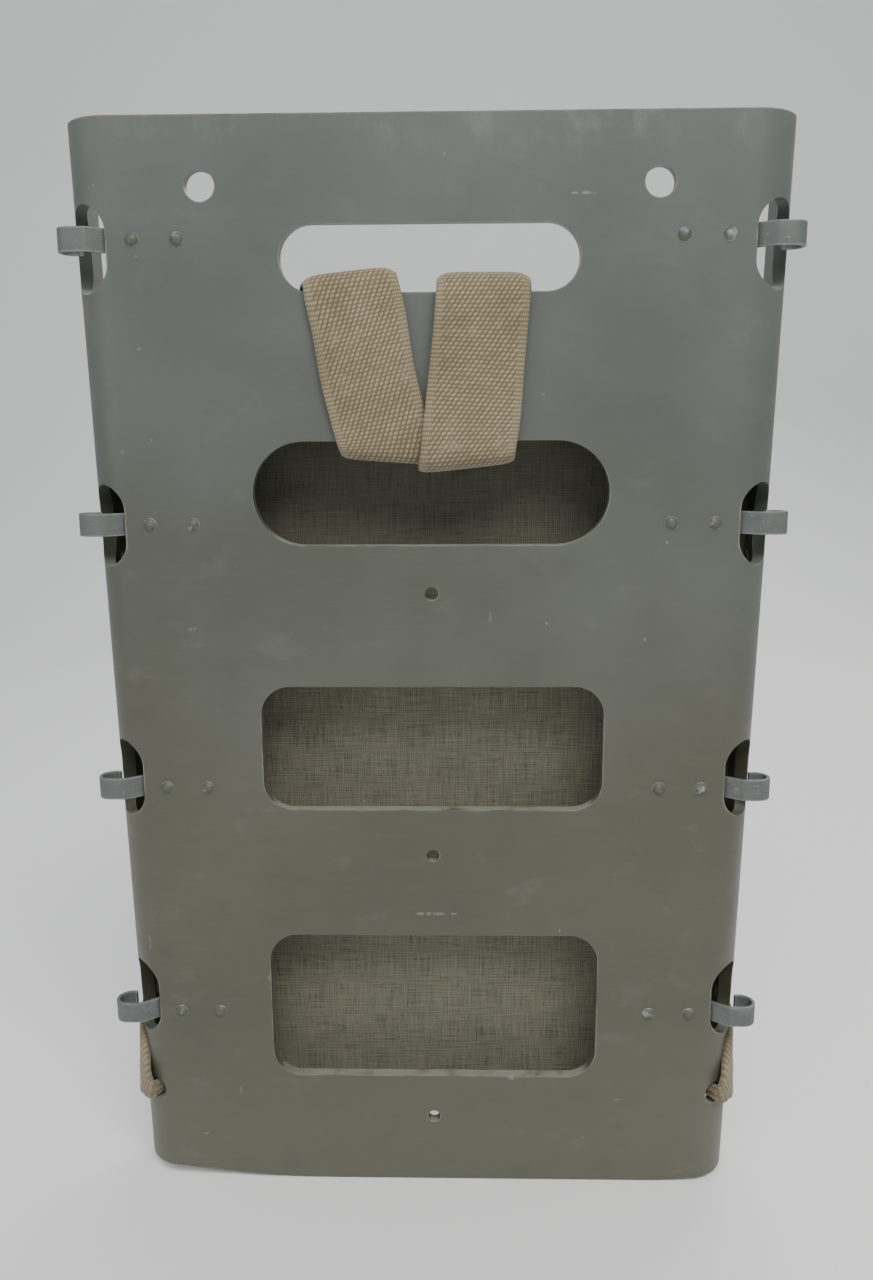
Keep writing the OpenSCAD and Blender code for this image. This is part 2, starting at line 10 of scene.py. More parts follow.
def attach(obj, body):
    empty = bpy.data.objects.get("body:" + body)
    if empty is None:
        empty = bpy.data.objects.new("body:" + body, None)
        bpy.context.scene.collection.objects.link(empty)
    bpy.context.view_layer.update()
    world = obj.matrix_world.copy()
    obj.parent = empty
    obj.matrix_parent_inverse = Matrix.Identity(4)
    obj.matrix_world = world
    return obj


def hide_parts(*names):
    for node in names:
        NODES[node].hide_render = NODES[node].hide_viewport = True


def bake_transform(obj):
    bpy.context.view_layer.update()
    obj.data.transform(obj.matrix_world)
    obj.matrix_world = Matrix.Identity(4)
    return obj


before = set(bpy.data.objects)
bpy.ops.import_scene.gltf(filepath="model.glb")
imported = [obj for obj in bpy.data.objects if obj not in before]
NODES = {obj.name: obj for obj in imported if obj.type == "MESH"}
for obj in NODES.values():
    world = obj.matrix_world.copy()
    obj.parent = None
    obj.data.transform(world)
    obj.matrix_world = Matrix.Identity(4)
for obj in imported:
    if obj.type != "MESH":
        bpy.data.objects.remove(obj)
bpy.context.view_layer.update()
MM = 0.001
SIDES = {"left": -1, "right": 1}

# The board's own measures, as in the CAD
FACE_Y = -3.175 * MM
HALF_W = 183.5
LEAN = math.radians(1.08)
FLANGE_D = 41.0


def half_w(z):
    return HALF_W + z * math.tan(LEAN)


def at(x, depth, z):
    """A point given in millimetres, with its depth from the load face."""
    return Vector((x * MM, FACE_Y + depth * MM, z * MM))


# ---------- camera, floor and light ----------

CAMERA_PLACE = (15.4, -575.4, 455.5)
CAMERA_PITCH, CAMERA_YAW, CAMERA_ROLL = 10.94, -1.26, -0.29
CAMERA_LENS = 28.97


def camera():
    data = bpy.data.cameras.new("camera")
    data.lens = CAMERA_LENS
    data.sensor_width = 36
    data.sensor_fit = "AUTO"
    data.clip_start = 0.05
    data.clip_end = 30
    cam = bpy.data.objects.new("camera", data)
    bpy.context.scene.collection.objects.link(cam)
    pitch, yaw, roll = (math.radians(a) for a in (CAMERA_PITCH, CAMERA_YAW, CAMERA_ROLL))
    forward = Vector((math.sin(yaw) * math.cos(pitch), math.cos(yaw) * math.cos(pitch), -math.sin(pitch)))
    right = Vector((math.cos(yaw), -math.sin(yaw), 0))
    up = right.cross(forward)
    x_axis = right * math.cos(roll) + up * math.sin(roll)
    y_axis = up * math.cos(roll) - right * math.sin(roll)
    place = Matrix((x_axis, y_axis, -forward)).transposed().to_4x4()
    place.translation = Vector(CAMERA_PLACE) * MM
    cam.matrix_world = place
    bpy.context.scene.camera = cam


def area_light(name, place, target, size, power, colour):
    data = bpy.data.lights.new(name, "AREA")
    data.shape = "RECTANGLE"
    data.size, data.size_y = size
    data.energy = power
    data.color = colour
    light = bpy.data.objects.new(name, data)
    bpy.context.scene.collection.objects.link(light)
    light.location = place
    light.rotation_euler = (Vector(target) - Vector(place)).to_track_quat("-Z", "Y").to_euler()


def studio():
    world = bpy.data.worlds.new("studio")
    bpy.context.scene.world = world
    world.use_nodes = True
    background = world.node_tree.nodes["Background"]
    background.inputs["Color"].default_value = (0.93, 0.96, 1.0, 1)
    background.inputs["Strength"].default_value = 0.50
    area_light("key", (0.35, -1.3, 1.95), (0, 0, 0.42), (1.5, 1.0), 43, (1.0, 0.99, 0.97))
    area_light("fill", (-1.6, -1.2, 0.9), (0, 0, 0.3), (1.2, 1.4), 5, (0.95, 0.98, 1.0))
    area_light("back", (0.6, 1.8, 1.8), (0, 0, 0.4), (1.6, 1.2), 22, (1.0, 0.99, 0.97))

    # Floor that curves up into a backdrop, just below the object's lowest point
    front, bend, radius, top, half, drop = -6.0, 1.6, 1.2, 6.0, 7.0, 0.0004
    angles = np.linspace(0, math.pi / 2, 13)
    curve = [(bend + radius * math.sin(a), radius - radius * math.cos(a)) for a in angles]
    profile = [(front, 0.0)] + curve + [(bend + radius, top)]
    verts = [(x, y, z - drop) for y, z in profile for x in (-half, half)]
    faces = [(2 * i, 2 * i + 1, 2 * i + 3, 2 * i + 2) for i in range(len(profile) - 1)]
    mesh = bpy.data.meshes.new("floor")
    mesh.from_pydata(verts, [], faces)
    mesh.polygons.foreach_set("use_smooth", [True] * len(faces))
    floor = bpy.data.objects.new("floor", mesh)
    bpy.context.scene.collection.objects.link(floor)
    s = Shader("studio_floor")
    s.set("Base Color", (0.9, 0.9, 0.895, 1))
    s.set("Roughness", 0.7)
    mesh.materials.append(s.material)


# ---------- materials ----------


def srgb(*rgb):
    """Linear colour from 0-255 display values."""
    out = [c / 255 / 12.92 if c <= 10 else ((c / 255 + 0.055) / 1.055) ** 2.4 for c in rgb]
    return (*out, 1.0)


class Shader:
    """One material's nodes. Every input may be a number, a tuple or another node's socket."""

    def __init__(self, name):
        self.material = bpy.data.materials.new(name)
        self.material.use_nodes = True
        self.tree = self.material.node_tree
        self.bsdf = self.tree.nodes["Principled BSDF"]

    def put(self, socket, value):
        if isinstance(value, bpy.types.NodeSocket):
            self.tree.links.new(value, socket)
        elif value is not None:
            socket.default_value = value

    def set(self, name, value):
        self.put(self.bsdf.inputs[name], value)

    def node(self, kind, values=(), out=0, **props):
        n = self.tree.nodes.new("ShaderNode" + kind)
        for key, value in props.items():
            setattr(n, key, value)
        for key, value in dict(values).items():
            self.put(n.inputs[key], value)
        return n.outputs[out]

    def coords(self):
        return self.node("TexCoord", out="Object")

    def uv(self):
        return self.node("UVMap", uv_map="weave")

    def split(self, vector):
        n = self.tree.nodes.new("ShaderNodeSeparateXYZ")
        self.put(n.inputs[0], vector)
        return n.outputs

    def math(self, op, a, b=0.0, c=0.0, clamp=False):
        return self.node("Math", {0: a, 1: b, 2: c}, operation=op, use_clamp=clamp)

    def scaled(self, vector, scale, offset=(0, 0, 0)):
        return self.node("Mapping", {"Vector": vector, "Scale": scale, "Location": offset})

    def noise(self, vector, scale, detail=3.0, rough=0.5, distortion=0.0):
        values = {"Vector": vector, "Scale": scale, "Detail": detail, "Roughness": rough}
        return self.node("TexNoise", {**values, "Distortion": distortion})

    def step(self, value, low, high, to_low=0.0, to_high=1.0):
        """0 below low, 1 above high and smooth between; low above high turns it round."""
        return self.node(
            "MapRange",
            {"Value": value, "From Min": low, "From Max": high, "To Min": to_low, "To Max": to_high},
            interpolation_type="SMOOTHSTEP",
        )

    def mix(self, fac, a, b):
        n = self.tree.nodes.new("ShaderNodeMix")
        n.data_type = "RGBA"
        self.put(n.inputs[0], fac)
        self.put(n.inputs[6], a)
        self.put(n.inputs[7], b)
        return n.outputs[2]

    def most(self, *values):
        out = values[0]
        for v in values[1:]:
            out = self.math("MAXIMUM", out, v)
        return out

    def edges(self, radius, low, high):
        """Mask of the arrises, where a rounded normal leaves the true one, and how far up they face."""
        rounded = self.tree.nodes.new("ShaderNodeBevel")
        rounded.samples = 4
        rounded.inputs["Radius"].default_value = radius
        normal = self.node("NewGeometry", out="Normal")
        pair = {0: rounded.outputs[0], 1: normal}
        dot = self.node("VectorMath", pair, out="Value", operation="DOT_PRODUCT")
        return self.step(dot, high, low), self.split(rounded.outputs[0])[2]

    def bump(self, height, distance, strength=1.0, normal=None):
        return self.node(
            "Bump", {"Height": height, "Distance": distance, "Strength": strength, "Normal": normal}
        )


def spot(s, xyz, x, z, rx, rz, wobble):
    """Mask of a small mark at (x, z) millimetres, rx and rz across, with a ragged edge."""
    dx = s.math("MULTIPLY", s.math("SUBTRACT", xyz[0], x * MM), 1 / (rx * MM))
    dz = s.math("MULTIPLY", s.math("SUBTRACT", xyz[2], z * MM), 1 / (rz * MM))
    r = s.math("SQRT", s.math("ADD", s.math("MULTIPLY", dx, dx), s.math("MULTIPLY", dz, dz)))
    return s.step(s.math("ADD", r, wobble), 1.05, 0.85)


# Chips down to bare wood along the edges: x, z, half width and half height in millimetres
CHIPS = [
    (-168, 623, 22, 1.5), (-118, 623, 16, 1.1), (-60, 623.2, 8, 0.9), (120, 623, 10, 0.9),
    (-186.5, 528, 1.0, 4), (-141, 5.0, 6, 1.2), (-99.8, 136, 0.8, 2), (-188, 330, 0.9, 3),
    (152, 6.5, 4, 0.9), (191, 470, 0.9, 3),
]
# Scuffs that lie on the paint: x, z, half width and half height
SCUFFS = [
    (81, 582, 7, 0.8), (-134, 351, 5, 1.2), (33, 358, 1.0, 4), (-2, 178.5, 17, 0.9),
    (45, 71, 8, 2.5), (113, 56, 1.6, 1.1), (-172, 158, 1.0, 5), (-158, 505, 4, 0.8), (120, 345, 1.0, 1.0),
    (-25, 262, 3, 0.7), (150, 262, 0.8, 3), (-120, 60, 0.8, 3), (60, 480, 2, 0.7), (-145, 30, 5, 0.8),
]


def paint_material():
    """Satin olive paint on plywood, rubbed along its arrises: greyer and bluer towards the top as a painted
    sheen, with a hazed band of scuffs under the top edge.
    """
    s = Shader("painted_plywood")
    p = s.coords()
    xyz = s.split(p)
    grain = s.noise(s.scaled(p, (5, 40, 110)), 6.0, 5, 0.6)
    fine = s.noise(p, 520.0, 3, 0.6)
    peel = s.noise(p, 130.0, 4, 0.55)
    cloud = s.noise(p, 7.0, 3, 0.55)
    blotch = s.noise(s.scaled(p, (1, 1, 1.6)), 30.0, 5, 0.62)
    ragged = s.noise(p, 420.0, 4, 0.65)

    # Painted sheen: the paint goes from darker olive low down to greyer and bluer higher up, standing in for
    # the sky's reflection; below 14 cm it is lightened again towards the bottom edge.
    height = s.math("ADD", xyz[2], s.math("MULTIPLY", s.math("SUBTRACT", cloud, 0.5), 0.35))
    low = s.mix(s.step(cloud, 0.35, 0.68), srgb(73, 73, 60), srgb(79, 79, 66))
    high = s.mix(s.step(cloud, 0.35, 0.68), srgb(80, 85, 81), srgb(86, 91, 86))
    green = s.mix(s.step(height, 0.20, 0.60), low, high)
    green = s.mix(s.math("MULTIPLY", s.step(xyz[2], 0.14, 0.02), 0.5), green, srgb(92, 92, 79))
    green = s.mix(s.math("MULTIPLY", s.step(grain, 0.45, 0.78), 0.05), green, srgb(112, 112, 98))
    green = s.mix(s.math("MULTIPLY", s.step(blotch, 0.54, 0.72), 0.22), green, srgb(66, 67, 57))
    green = s.mix(s.math("MULTIPLY", s.step(blotch, 0.44, 0.30), 0.16), green, srgb(110, 111, 101))

    # Rubbed arrises, lighter than the paint and lightest where they face up as a painted highlight, a hazed
    # band of scuffs under the top edge, and chips to wood
    arris, facing_up = s.edges(1.6 * MM, 0.80, 0.97)
    rubbed_and_lit = s.math("MULTIPLY", arris, s.step(s.noise(p, 55.0, 4, 0.6), 0.36, 0.60))
    rubbed_and_lit = s.math("MULTIPLY", rubbed_and_lit, s.step(facing_up, -0.45, 0.15, 0.12, 1.0))
    green = s.mix(s.math("MULTIPLY", rubbed_and_lit, 0.85), green, srgb(146, 148, 132))
    # Up-facing faces, such as the slots' lower walls and the top edge, lighter in patches: partly wear,
    # partly a painted highlight from the light above.
    lit_worn_lip = s.step(s.split(s.node("NewGeometry", out="Normal"))[2], 0.6, 0.9)
    lit_worn_lip = s.math("MULTIPLY", lit_worn_lip, s.step(s.noise(p, 60.0, 4, 0.6), 0.22, 0.52))
    green = s.mix(s.math("MULTIPLY", lit_worn_lip, 0.8), green, srgb(144, 146, 133))
    haze = s.step(s.noise(s.scaled(p, (1, 1, 0.4)), 75.0, 5, 0.7), 0.50, 0.74)
    haze = s.math("MULTIPLY", s.step(xyz[2], 0.596, 0.622), haze)
    green = s.mix(s.math("MULTIPLY", haze, 0.12), green, srgb(166, 170, 163))
    wobble = s.math("MULTIPLY", s.math("SUBTRACT", ragged, 0.5), 1.7)
    scuff = s.most(*[spot(s, xyz, *m, wobble) for m in SCUFFS])
    streak = s.noise(s.scaled(p, (260, 260, 30)), 1.0, 2, 0.5)
    streak = s.math("ADD", streak, s.math("MULTIPLY", ragged, 0.6))
    scuff = s.math("MULTIPLY", scuff, s.step(streak, 0.72, 0.92))
    green = s.mix(s.math("MULTIPLY", scuff, 0.45), green, srgb(146, 149, 135))

    # Flecks: tiny nicks scattered over the face
    cell = {"Vector": s.scaled(p, (1, 1, 0.6)), "Scale": 95.0, "Randomness": 1.0}
    cell = s.node("TexVoronoi", cell, out="Distance")
    few = s.step(s.noise(p, 16.0, 2, 0.5), 0.56, 0.64)
    fleck = s.math("MULTIPLY", s.step(cell, 0.055, 0.03), few)
    green = s.mix(s.math("MULTIPLY", fleck, 0.8), green, srgb(165, 164, 148))

    chip = s.most(*[spot(s, xyz, *m, wobble) for m in CHIPS])
    wood = s.mix(s.noise(s.scaled(p, (20, 200, 400)), 3.0, 3), srgb(92, 72, 56), srgb(136, 112, 90))
    s.set("Base Color", s.mix(chip, green, wood))
    rough = s.step(cloud, 0.3, 0.75, 0.40, 0.50)
    rough = s.math("ADD", rough, s.math("MULTIPLY", s.most(scuff, rubbed_and_lit, chip, haze), 0.2))
    s.set("Roughness", s.math("ADD", rough, s.math("MULTIPLY", s.math("SUBTRACT", blotch, 0.5), 0.18)))
    s.set("Specular IOR Level", 0.55)
    normal = s.bump(grain, 0.10 * MM, 0.06)
    normal = s.bump(s.math("ADD", peel, s.math("MULTIPLY", fine, 0.35)), 0.14 * MM, 0.35, normal)
    marks = s.most(chip, s.math("MULTIPLY", fleck, 0.5), s.math("MULTIPLY", rubbed_and_lit, 0.25))
    s.set("Normal", s.bump(s.math("MULTIPLY", marks, -1.0), 0.25 * MM, 0.6, normal))
    return s.material


def steel_material(name, paint, bright, worn_from, rub, reach=0.9 * MM):
    """Painted steel whose arrises and high spots are rubbed to the metal."""
    s = Shader(name)
    p = s.coords()
    cloud = s.noise(p, 60.0, 4, 0.6)
    ragged = s.noise(p, 420.0, 4, 0.65)
    scratch = s.noise(s.scaled(p, (1, 1, 9)), 190.0, 3, 0.6)
    arris, _ = s.edges(reach, 0.72, 0.97)
    worn = s.math("MULTIPLY", arris, s.step(ragged, worn_from, worn_from + 0.18))
    patch = s.math("MULTIPLY", s.step(s.math("ADD", cloud, s.math("MULTIPLY", ragged, 0.25)), 0.66, 0.8), rub)
    nick = s.math("MULTIPLY", s.step(scratch, 0.66, 0.72), 0.5)
    bare = s.math("MAXIMUM", worn, s.math("MAXIMUM", patch, nick), clamp=True)
    base = s.mix(s.step(cloud, 0.35, 0.65), paint, tuple(c * 0.78 for c in paint[:3]) + (1.0,))
    s.set("Base Color", s.mix(bare, base, bright))
    s.set("Metallic", s.math("MULTIPLY", bare, 0.75))
    s.set("Roughness", s.math("ADD", s.step(cloud, 0.3, 0.7, 0.40, 0.55), s.math("MULTIPLY", ragged, 0.1)))
    s.set("Normal", s.bump(s.math("SUBTRACT", ragged, bare), 0.05 * MM, 0.6))
    return s.material


def webbing_material():
    """Coarse cotton webbing: slanting rows of fat knots between two ribbed selvedges."""
    s = Shader("webbing")
    uv = s.split(s.uv())
    p = s.coords()
    soft = s.noise(p, 900.0, 3, 0.6)
    wander = s.math("MULTIPLY", s.math("SUBTRACT", s.noise(p, 260.0, 3, 0.6), 0.5), 1.9)
    across, pick, slant = 2.9 * MM, 2.2 * MM, -0.60
    turn = 2 * math.pi
    row = s.math("ADD", s.math("MULTIPLY", uv[1], turn / pick), wander)
    col = s.math("ADD", uv[0], s.math("MULTIPLY", uv[1], slant))
    col = s.math("ADD", s.math("MULTIPLY", col, turn / across), wander)
    # Each knot's own thickness
    number = {i: s.math("ROUND", s.math("MULTIPLY", c, 1 / turn)) for i, c in enumerate((col, row))}
    own = s.node("TexWhiteNoise", {"Vector": s.node("CombineXYZ", number)}, noise_dimensions="3D")
    knots = s.math("POWER", s.math("MULTIPLY_ADD", s.math("COSINE", col), 0.5, 0.5), 0.8)
    knots = s.math("MULTIPLY", knots, s.math("MULTIPLY_ADD", s.math("COSINE", row), 0.39, 0.61))
    knots = s.math("MULTIPLY", knots, s.math("MULTIPLY_ADD", own, 0.6, 0.65))
    ribs = s.math("MULTIPLY_ADD", s.math("COSINE", row), 0.5, 0.5)
    yarn = s.math("MULTIPLY_ADD", s.math("COSINE", s.math("MULTIPLY", uv[0], turn / (1.15 * MM))), 0.25, 0.75)
    ribs = s.math("MULTIPLY", s.math("MULTIPLY_ADD", ribs, 0.55, 0.25), yarn)
    from_edge = s.math("ABSOLUTE", uv[0])
    selvedge = s.step(from_edge, 21.0 * MM, 22.6 * MM)
    height = s.math("ADD", s.math("MULTIPLY", knots, s.math("SUBTRACT", 1.0, selvedge)),
                    s.math("MULTIPLY", ribs, selvedge))
    height = s.math("ADD", height, s.math("MULTIPLY", soft, 0.22))
    stain = s.noise(p, 24.0, 4, 0.6)
    # Painted light and shade on the weave: the knots' tops take the lit colour and the hollows between them
    # the dark one.
    lit = s.mix(s.step(stain, 0.35, 0.7), srgb(160, 149, 122), srgb(144, 133, 106))
    dark = s.mix(s.step(stain, 0.35, 0.7), srgb(108, 96, 74), srgb(98, 87, 66))
    colour = s.mix(s.step(height, 0.12, 0.95), dark, lit)
    fade = s.math("MULTIPLY", s.step(s.noise(p, 55.0, 5, 0.7), 0.56, 0.72), 0.3)
    s.set("Base Color", s.mix(fade, colour, srgb(168, 158, 138)))
    s.set("Roughness", 0.92)
    s.set("Specular IOR Level", 0.25)
    s.set("Sheen Weight", 0.25)
    s.set("Sheen Roughness", 0.5)
    s.set("Normal", s.bump(height, 0.42 * MM, 0.75))
    return s.material


def canvas_material(name, light, dark, pitch, stain_tint, upper_shade=0.0):
    """Plain-woven cotton duck; the pattern lies in the UVs, in metres. Its last argument darkens its upper
    part with painted shade.
    """
    s = Shader(name)
    uv = s.split(s.uv())
    p = s.coords()
    slub_u = s.noise(s.scaled(s.uv(), (1100, 45, 1)), 1.0, 2, 0.6)
    slub_v = s.noise(s.scaled(s.uv(), (45, 1100, 1)), 1.0, 2, 0.6)
    k = math.pi / pitch
    u = s.math("ADD", s.math("MULTIPLY", uv[0], k), s.math("MULTIPLY", slub_u, 1.2))
    v = s.math("ADD", s.math("MULTIPLY", uv[1], k), s.math("MULTIPLY", slub_v, 1.2))
    su, sv = s.math("SINE", u), s.math("SINE", v)
    cu, cv = s.math("COSINE", u), s.math("COSINE", v)
    turns = s.math("MULTIPLY", cu, cv)
    over = s.math("MULTIPLY", s.math("ABSOLUTE", su), s.math("MULTIPLY_ADD", turns, 0.5, 0.5))
    under = s.math("MULTIPLY", s.math("ABSOLUTE", sv), s.math("MULTIPLY_ADD", turns, -0.5, 0.5))
    height = s.math("ADD", over, under)
    stain = s.noise(p, 11.0, 4, 0.6)
    fuzz = s.noise(p, 700.0, 2, 0.6)
    # Painted shade on the weave: its hollows take the dark colour and the raised yarns the light one.
    base = s.mix(s.step(stain, 0.38, 0.7), light, stain_tint)
    colour = s.mix(s.step(s.math("ADD", height, s.math("MULTIPLY", fuzz, 0.3)), 0.35, 1.0), dark, base)
    # Thick and thin yarns, and painted shade towards the top
    slub = s.math("ADD", slub_u, slub_v)
    colour = s.mix(s.math("MULTIPLY", s.step(slub, 1.02, 1.28), 0.75), colour, dark)
    colour = s.mix(s.math("MULTIPLY", s.step(slub, 0.98, 0.74), 0.40), colour, srgb(150, 148, 128))
    speck = s.step(s.noise(p, 480.0, 2, 0.5), 0.68, 0.74)
    colour = s.mix(s.math("MULTIPLY", speck, 0.5), colour, srgb(58, 56, 46))
    # Painted shade: the cloth darkens above 30 cm, standing in for the shadow the board casts on it through
    # the slots.
    upper_shade_mask = s.step(s.split(p)[2], 0.30, 0.46)
    colour = s.mix(s.math("MULTIPLY", upper_shade_mask, upper_shade), colour, srgb(56, 58, 50))
    s.set("Base Color", colour)
    s.set("Roughness", 0.95)
    s.set("Specular IOR Level", 0.2)
    s.set("Sheen Weight", 0.2)
    s.set("Sheen Roughness", 0.5)
    s.set("Normal", s.bump(height, 0.22 * MM, 0.8))
    return s.material


def thread_material():
    s = Shader("thread")
    p = s.coords()
    twist = s.noise(p, 1500.0, 2, 0.6)
    s.set("Base Color", s.mix(twist, srgb(92, 88, 66), srgb(141, 134, 106)))
    s.set("Roughness", 0.8)
    s.set("Normal", s.bump(twist, 0.1 * MM, 0.5))
    return s.material


# ---------- mesh helpers ----------


def new_object(name, verts, faces, material, uvs=None, smooth=True):
    """A mesh object from points in metres. uvs holds one (u, v) for each corner of each face."""
    mesh = bpy.data.meshes.new(name)
    mesh.from_pydata([tuple(v) for v in verts], [], faces)
    if uvs is not None:
        layer = mesh.uv_layers.new(name="weave")
        layer.data.foreach_set("uv", np.asarray(uvs, np.float32).ravel())
    mesh.polygons.foreach_set("use_smooth", [smooth] * len(faces))
    mesh.validate()
    mesh.update()
    obj = bpy.data.objects.new(name, mesh)
    bpy.context.scene.collection.objects.link(obj)
    mesh.materials.append(material)
    return obj


def loft(name, rings, material, uv_rings=None, closed=True):
    """Joins rings of points into a tube with flat ends. Rings have the same number of points."""
    rings = [np.asarray(r, float) for r in rings]
    n, m = len(rings[0]), len(rings)
    verts = np.vstack(rings)
    faces, uvs = [], []
    for i in range(m - 1):
        for k in range(n):
            j = (k + 1) % n
            quad = (i * n + k, i * n + j, (i + 1) * n + j, (i + 1) * n + k)
            faces.append(quad)
            if uv_rings is not None:
                a, b = uv_rings[i], uv_rings[i + 1]
                # The ring's last side closes it, so its far corner takes the wrapped value
                kk = k + 1
                uvs += [a[k], a[kk], b[kk], b[k]]
    if closed:
        for i, turn in ((0, -1), (m - 1, 1)):
            cap = [i * n + k for k in range(n)][::turn]
            faces.append(tuple(cap))
            if uv_rings is not None:
                uvs += [uv_rings[i][k] for k in range(n)][::turn]
    return new_object(name, verts, faces, material, uvs if uv_rings is not None else None)


def catmull(rows, n):
    rows = np.asarray(rows, float)
    m = len(rows) - 1
    out = []
    for i in range(m):
        a, b, c, d = rows[max(i - 1, 0)], rows[i], rows[i + 1], rows[min(i + 2, m)]
        for k in range(n):
            t = k / n
            out.append(0.5 * (2 * b + (c - a) * t + (2 * a - 5 * b + 4 * c - d) * t * t
                              + (3 * b - a - 3 * c + d) * t ** 3))
    out.append(rows[m])
    return np.array(out)


def unit(v):
    return v / np.linalg.norm(v)


def frames(rows):
    """For each row: its place, the direction along, the direction across and the normal. A row's
    ninth value is 1 where the strip keeps the slant that it is given, and 0 where it is square."""
    out = []
    m = len(rows) - 1
    for i, r in enumerate(rows):
        along = unit(rows[min(i + 1, m)][:3] - rows[max(i - 1, 0)][:3])
        w = unit(r[3:6] - (1 - r[8]) * np.dot(r[3:6], along) * along)
        out.append((r[:3], along, w, unit(np.cross(along, w))))
    return out


def mirrored(rows, side):
    """CAD rows are written for the right side; on the left x and the width's x change sign."""
    rows = np.array(rows, float)
    if side < 0:
        rows[:, 0] *= -1
        rows[:, 3] *= -1
        rows[:, 3:6] *= -1
    return rows


def to_scene(points):
    """Millimetres with depth from the load face, to metres."""
    p = np.array(points, float) * MM
    p[:, 1] += FACE_Y
    return p


def ribbon_ring(place, w, n, width, thick, cells, cup, ripple):
    """Points round a strip's section, with rounded selvedges, and their distance across it."""
    edge = thick * 0.55
    half = width / 2
    points, us = [], []
    for sgn in (1, -1):
        for a in np.linspace(-1, 1, cells + 1)[:: -sgn]:
            u = a * (half - edge * 0.35)
            gap = half - abs(u)
            h = thick / 2 * math.sqrt(max(1 - (1 - min(gap / edge, 1)) ** 2, 0.0))
            lift = ripple(a) + cup * abs(a) ** 7
            points.append(place + w * u + n * (sgn * h + lift))
            us.append(a)
    return points, us


def strip(rows):
    """Rows with the two optional columns, slant kept and cup of the edges, filled in."""
    return np.array([list(r) + [0.0] * (10 - len(r)) for r in rows], float)


def flat(a, t):
    return 0.0


def ribbon(name, rows, material, steps=6, cells=22, off=0.0, ripple=flat, cloth_w=None):
    """Woven strip along CAD rows [x, depth, z, across xyz, width, thickness, slant, cup], in mm.
    ripple(a, t) lifts the strip at a (-1 to 1 across) and t (0 to 1 along)."""
    fine = catmull(strip(rows), steps)
    rings, uv_rings, v, last = [], [], 0.0, None
    for i, (place, along, w, n) in enumerate(frames(fine)):
        place = place + n * off
        v += 0.0 if last is None else np.linalg.norm(place - last)
        last = place
        t = i / (len(fine) - 1)
        width, thick, cup = fine[i][6], fine[i][7], fine[i][9]
        points, us = ribbon_ring(place, w, n, width, thick, cells, cup, lambda a: ripple(a, t))
        rings.append(to_scene(points))
        half = (cloth_w or width) / 2
        uv = [(u * half * MM, v * MM) for u in us]
        uv_rings.append(uv + [uv[0]])
    return loft(name, rings, material, uv_rings)


def bevelled(obj, width, angle=35, segments=2, weld=True):
    if weld:
        m = obj.modifiers.new("weld", "WELD")
        m.merge_threshold = 1e-6
    m = obj.modifiers.new("arris", "BEVEL")
    m.width = width
    m.segments = segments
    m.limit_method = "ANGLE"
    m.angle_limit = math.radians(angle)
    m.use_clamp_overlap = True
    m.harden_normals = False
    m = obj.modifiers.new("shading", "WEIGHTED_NORMAL")
    m.keep_sharp = False
    m.weight = 60


def repaint(node, material):
    mesh = NODES[node].data
    mesh.materials.clear()
    mesh.materials.append(material)


camera()
studio()

paint = paint_material()
hook_steel = steel_material("hook_steel", srgb(92, 97, 94), srgb(190, 194, 192), 0.30, 0.10, 1.8 * MM)
rivet_steel = steel_material("rivet_steel", srgb(82, 84, 74), srgb(182, 186, 178), 0.30, 0.75)
buckle_steel = steel_material("buckle_steel", srgb(52, 54, 47), srgb(128, 126, 116), 0.48, 0.3)
webbing = webbing_material()
duck = canvas_material("canvas", srgb(132, 130, 112), srgb(80, 79, 66), 1.1 * MM, srgb(120, 119, 101), 0.55)
pad_duck = canvas_material("pad_canvas", srgb(116, 113, 86), srgb(76, 75, 56), 0.8 * MM, srgb(102, 100, 76))
tape_cloth = canvas_material("binding_tape", srgb(108, 104, 78), srgb(70, 68, 48), 0.5 * MM, srgb(96, 93, 70))
thread = thread_material()

repaint("board", paint)
bevelled(NODES["board"], 0.8 * MM, 40)
for side in SIDES:
    for row in (1, 2, 3, 4):
        node = f"hook_{side}_{row}"
        repaint(node, hook_steel)
        bevelled(NODES[node], 0.5 * MM, 40)
    for node in ("buckle_base", "buckle_pin", "buckle_lever", "web_tip", "anchor_toggle"):
        repaint(f"{node}_{side}", buckle_steel)
        bevelled(NODES[f"{node}_{side}"], 0.3 * MM, 40)
for node in ("hook_rivets", "canvas_rivets"):
    repaint(node, rivet_steel)

# ---------- straps: the buckle's frame and the routes, as in the CAD ----------

STRAP_TOP_X = {"left": 56.0, "right": 33.0}
BUCKLE = np.array([165.0, 108.0, 176.0])
LEAN_IN = math.radians(15)
STRAP_DIR = np.array([-math.sin(LEAN_IN), 0.0, math.cos(LEAN_IN)])
ACROSS = np.array([math.cos(LEAN_IN), 0.0, math.sin(LEAN_IN)])
OUT = np.array([0.0, 1.0, 0.0])
WEB_W, WEB_T = 52.0, 2.6
TAIL_OUT, TAIL_L = 6.2, 128.0
KEEPER_Z, KEEPER_L = 60.0, 15.0


def on_strap(l, o=0.0, a=0.0):
    """A point in the buckle's frame: l along the strap, o outside its middle, a across."""
    return BUCKLE + l * STRAP_DIR + o * OUT + a * ACROSS


def straight(l, o=0.0):
    return [*on_strap(l, o), *ACROSS, WEB_W, WEB_T]


def lerp(a, b, t):
    return a + (b - a) * t


